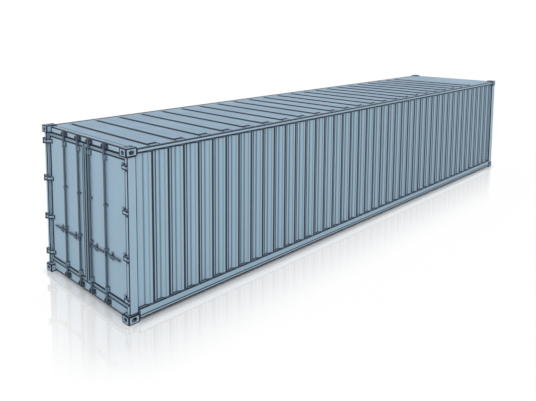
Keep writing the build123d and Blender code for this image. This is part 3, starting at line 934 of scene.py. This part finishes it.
def floor_screws(material):
    """Countersunk screws that hold the boards to the cross members below them."""
    low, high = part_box("floor")
    rows = [(bottom[1] + top[1]) / 2 for bottom, top in solids("cross_members")]
    xs = np.linspace(low[0] + SCREW_INSET, high[0] - SCREW_INSET, SCREWS_ACROSS)
    places = [(x, y, high[2]) for y in rows if y < high[1] - SCREW_MARGIN for x in xs]
    screw = rivet_head(*FLOOR_SCREW, rows=2)
    heads("floor_screws", screw, places, UP, "container", material)


def small_parts():
    """Everything that holds the container together and is too fine for the model."""
    welds = weld_paint()
    bolts = edged_paint("bolt_paint", BODY_BLUE, 0.004)
    steel = bare_steel()
    wall_welds(welds)
    frame_welds(welds)
    gear_welds(welds)
    pin_heads(bolts)
    floor_screws(steel)
    for side, sign in SIDES.items():
        door_bolts(side, sign, bolts)
        door_sealing(side, welds)
        seal_rivets(side, steel)
        for place in ("inner", "outer"):
            body = f"bar_{side}_{place}"
            handle = f"lock_handle_{side}_{place}"
            bar_rings(body, f"lock_bar_{side}_{place}", handle, welds)
            handle_rivet(body, sign, handle, bolts)


# Floor, light and camera

def stage_floor():
    """A large white floor that shows as white where nothing shades it. Close round the container it also
    mirrors it faintly, less and less with the distance from its footprint."""
    corners = [(-STAGE_HALF, -STAGE_HALF, 0), (STAGE_HALF, -STAGE_HALF, 0), (STAGE_HALF, STAGE_HALF, 0),
               (-STAGE_HALF, STAGE_HALF, 0)]
    mesh = bpy.data.meshes.new("stage_floor")
    mesh.from_pydata(corners, [], [(0, 1, 2, 3)])
    floor = bpy.data.objects.new("stage_floor", mesh)
    bpy.context.scene.collection.objects.link(floor)
    finish = Finish("stage_white")
    seen = finish.node("LightPath", output="Is Camera Ray")
    finish.feed(finish.shader.inputs["Base Color"], finish.mix(seen, STAGE_GREY, WHITE))
    finish.feed(finish.shader.inputs["Roughness"], 0.9)
    finish.feed(finish.shader.inputs["Specular IOR Level"], 0.0)
    x, y, _ = finish.place()
    beside = (x.size() - float(cad_high[0])).most(0.0)
    beyond = (y.size() - float(cad_high[1])).most(0.0)
    away = (beside * beside + beyond * beyond).root()
    lit = Value(finish, finish.shader.outputs[0])
    glow = finish.node("Emission", inputs={"Color": WHITE, "Strength": 1.0})
    mirror = finish.node("BsdfGlossy", inputs={"Color": WHITE, "Roughness": 0.02})
    glowing = away.fade(0.0, GLOW_REACH) * GLOW_SHARE * seen
    mirrored = away.fade(MIRROR_REACH, 0.0) * MIRROR_SHARE * seen
    plain = finish.node("MixShader", inputs={0: glowing, 1: lit, 2: glow})
    whole = finish.node("MixShader", inputs={0: mirrored, 1: plain, 2: mirror})
    finish.feed(finish.tree.nodes["Material Output"].inputs[0], whole)
    mesh.materials.append(finish.material)


def surround():
    """An even sky that lights from all sides, and shows as plain white to the camera, in gloss and through
    glass."""
    world = bpy.data.worlds.new("surround")
    bpy.context.scene.world = world
    nodes = Nodes(world)
    sky = nodes.tree.nodes["Background"]
    nodes.feed(sky.inputs["Color"], WHITE)
    nodes.feed(sky.inputs["Strength"], SKY_STRENGTH)
    light = Value(nodes, sky.outputs[0])
    plain = nodes.node("Background", inputs={"Color": WHITE, "Strength": 1.0})
    shown = nodes.node("LightPath", output="Is Camera Ray")
    for kind in ("Is Glossy Ray", "Is Transmission Ray"):
        shown = shown.most(nodes.node("LightPath", output=kind))
    whole = nodes.node("MixShader", inputs={0: shown, 1: light, 2: plain})
    nodes.feed(nodes.tree.nodes["World Output"].inputs[0], whole)


def lamp(name, strength, spread, turn):
    """A far, soft lamp: its strength, how wide it looks in the sky, and its turn from straight down."""
    data = bpy.data.lights.new(name, "SUN")
    data.energy = strength
    data.angle = math.radians(spread)
    light = bpy.data.objects.new(name, data)
    light.rotation_euler = Euler([math.radians(angle) for angle in turn])
    bpy.context.scene.collection.objects.link(light)


def camera():
    """The view of the photo: from the right of the doors and from above the roof."""
    data = bpy.data.cameras.new("camera")
    data.lens = CAMERA_LENS
    data.sensor_width = CAMERA_SENSOR
    data.shift_x, data.shift_y = CAMERA_SHIFT
    data.clip_end = CAMERA_RANGE
    eye = bpy.data.objects.new("camera", data)
    eye.location = CAMERA_PLACE
    eye.rotation_euler = Euler([math.radians(90 - CAMERA_DIP), 0, math.radians(CAMERA_HEADING)])
    bpy.context.scene.collection.objects.link(eye)
    bpy.context.scene.camera = eye


dress()
small_parts()
stage_floor()
surround()
lamp("key", *KEY_LAMP)
lamp("fill", *FILL_LAMP)
camera()
bpy.context.scene.view_settings.view_transform = "Standard"
